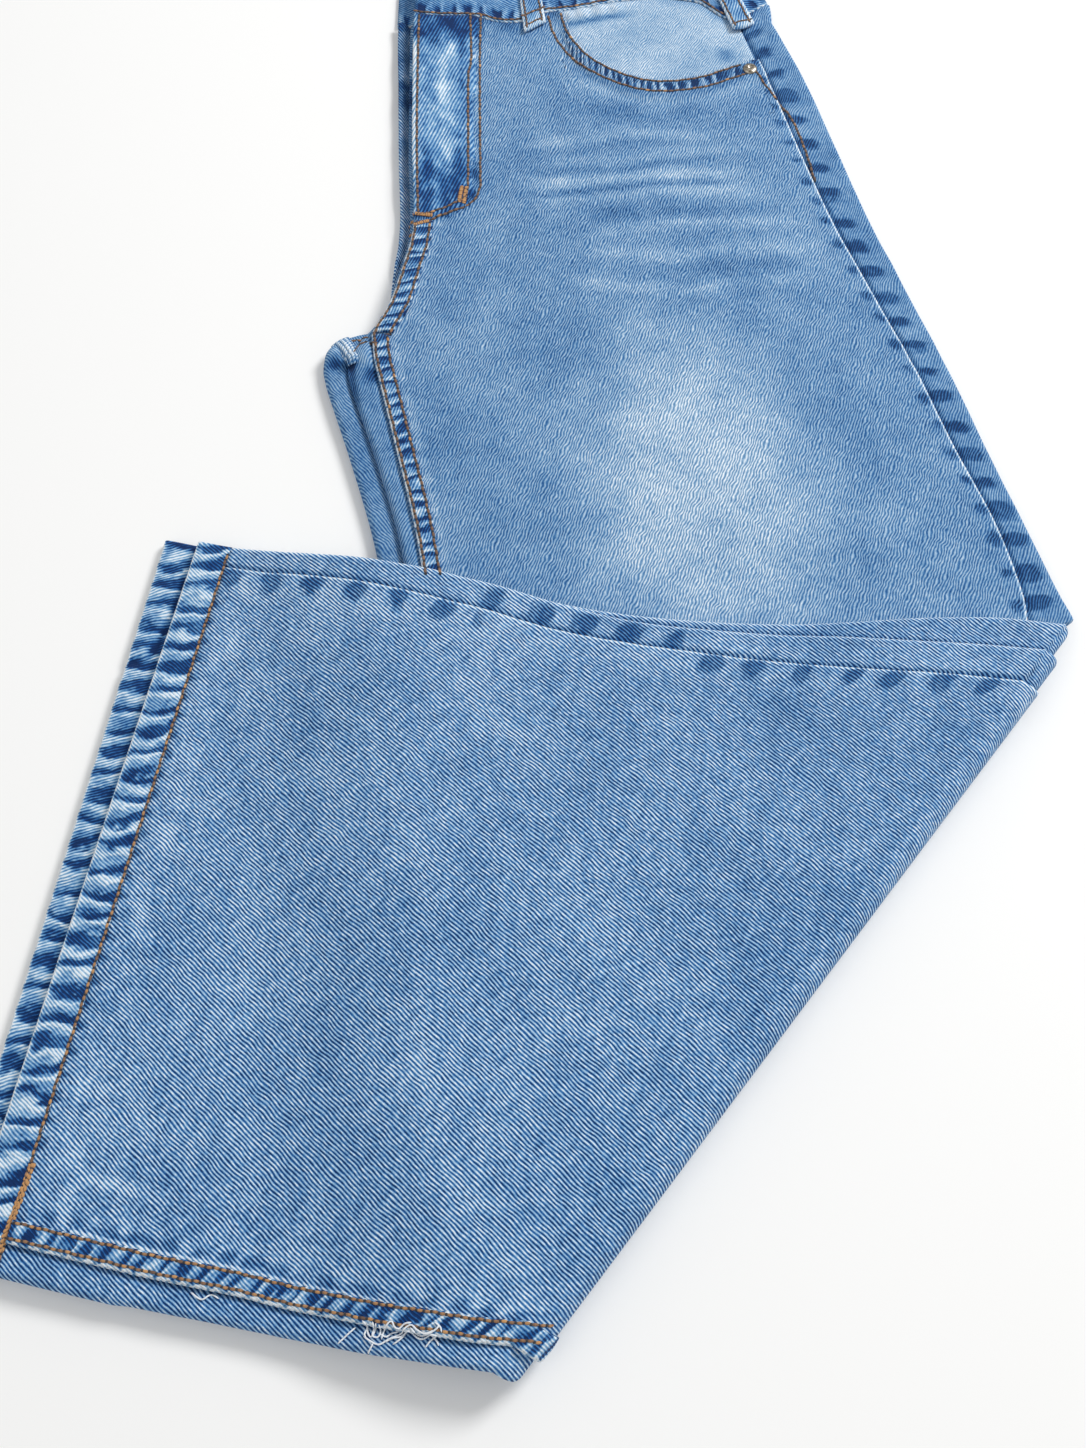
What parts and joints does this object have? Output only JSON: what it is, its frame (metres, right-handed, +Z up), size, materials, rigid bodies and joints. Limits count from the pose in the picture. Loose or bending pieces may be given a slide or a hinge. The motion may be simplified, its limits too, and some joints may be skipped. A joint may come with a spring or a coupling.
{
  "type": "folded wide-leg jeans",
  "caption": "Wide-leg denim jeans lying flat, folded in half down the front and turned up across the knees.",
  "frame": {"origin": "middle of the garment's box, on the floor that it lies on", "axes": "+Z up from the floor, +Y from the knee fold towards the waist, +X towards the outseam"},
  "size_m": [0.5558, 0.8729, 0.0262],
  "materials": {
    "denim": "washed indigo twill, matt",
    "pale_denim": "faded indigo twill, matt",
    "seam_denim": "indigo twill with worn ridges, matt",
    "aged_metal": "worn, bronze in the hollows"
  },
  "bodies": {
    "root": {"left_front_panel": "denim", "left_back_panel": "denim", "right_front_panel": "denim", "right_back_panel": "denim", "fly_facing": "denim", "pocket_facing": "pale_denim", "rise_fell": "seam_denim", "left_inseam_fell": "seam_denim", "right_inseam_fell": "seam_denim", "right_hem": "seam_denim", "left_hem": "seam_denim", "waistband": "seam_denim", "front_belt_loop": "seam_denim", "side_belt_loop": "seam_denim", "button": "aged_metal", "rivet": "aged_metal"}
  },
  "joints": []
}
